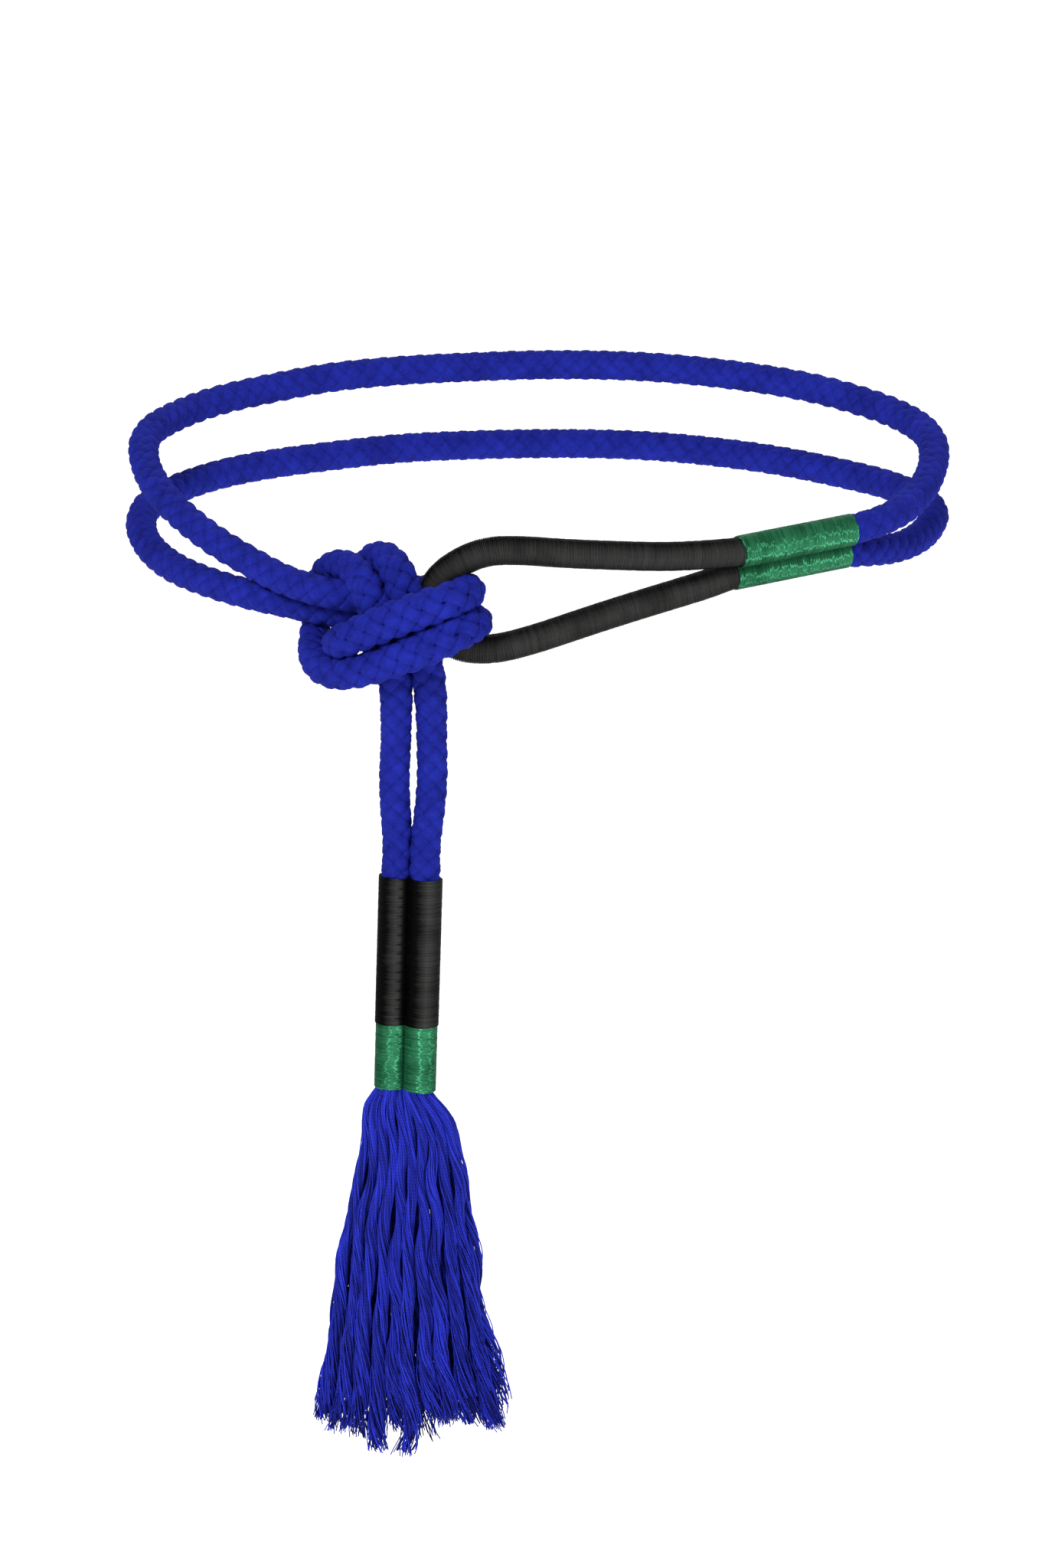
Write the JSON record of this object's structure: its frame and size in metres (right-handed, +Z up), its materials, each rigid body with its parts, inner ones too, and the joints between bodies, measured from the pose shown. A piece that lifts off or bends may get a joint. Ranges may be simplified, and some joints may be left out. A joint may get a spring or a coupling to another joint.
{
  "type": "rope belt",
  "caption": "Doubled braided rope belt with a thread-whipped eye, a half-hitch knot, bound tails and a yarn tassel.",
  "frame": {"origin": "centre of the waist loop", "axes": "+Z up as worn, +X to the right seen from the front, -Y the front, where the knot and tassel hang"},
  "size_m": [0.2985, 0.2354, 0.3446],
  "materials": {
    "rope": "matt",
    "black_thread": "satin",
    "green_thread": "satin",
    "tassel_yarn": "matt"
  },
  "bodies": {
    "belt": {"waist_rope_upper": "rope", "waist_rope_lower": "rope", "knot_strand_upper": "rope", "knot_strand_lower": "rope", "eye_rope": "rope", "throat_rope_upper": "rope", "throat_rope_lower": "rope", "eye_whipping": "black_thread", "throat_seizing": "green_thread"},
    "tails": {"tail_rope_left": "rope", "tail_rope_right": "rope"},
    "bound_tails": {"bound_rope_left": "rope", "bound_rope_right": "rope", "tail_black_seizing": "black_thread", "tail_green_seizing": "green_thread"},
    "tassel": {"tassel_hank_left_1": "tassel_yarn", "tassel_hank_left_2": "tassel_yarn", "tassel_hank_left_3": "tassel_yarn", "tassel_hank_left_4": "tassel_yarn", "tassel_hank_left_5": "tassel_yarn", "tassel_hank_left_6": "tassel_yarn", "tassel_hank_left_7": "tassel_yarn", "tassel_hank_left_8": "tassel_yarn", "tassel_hank_right_1": "tassel_yarn", "tassel_hank_right_2": "tassel_yarn", "tassel_hank_right_3": "tassel_yarn", "tassel_hank_right_4": "tassel_yarn", "tassel_hank_right_5": "tassel_yarn", "tassel_hank_right_6": "tassel_yarn", "tassel_hank_right_7": "tassel_yarn", "tassel_hank_right_8": "tassel_yarn"}
  },
  "joints": [
    {"name": "tail_swing", "type": "hinge", "parent": "belt", "child": "tails", "pos_m": [-0.0443, -0.112, -0.0555], "axis": [1, 0, 0], "range_deg": [-75, 25]},
    {"name": "tail_sway", "type": "hinge", "parent": "tails", "child": "bound_tails", "pos_m": [-0.0455, -0.1132, -0.1163], "axis": [0, 1, 0], "range_deg": [-25, 25], "deforming": ["tail_rope_left", "tail_rope_right"]},
    {"name": "tassel_swing", "type": "hinge", "parent": "bound_tails", "child": "tassel", "pos_m": [-0.04804, -0.1132, -0.20086], "axis": [0.9655, -0.2587, -0.029], "range_deg": [-35, 35]}
  ]
}
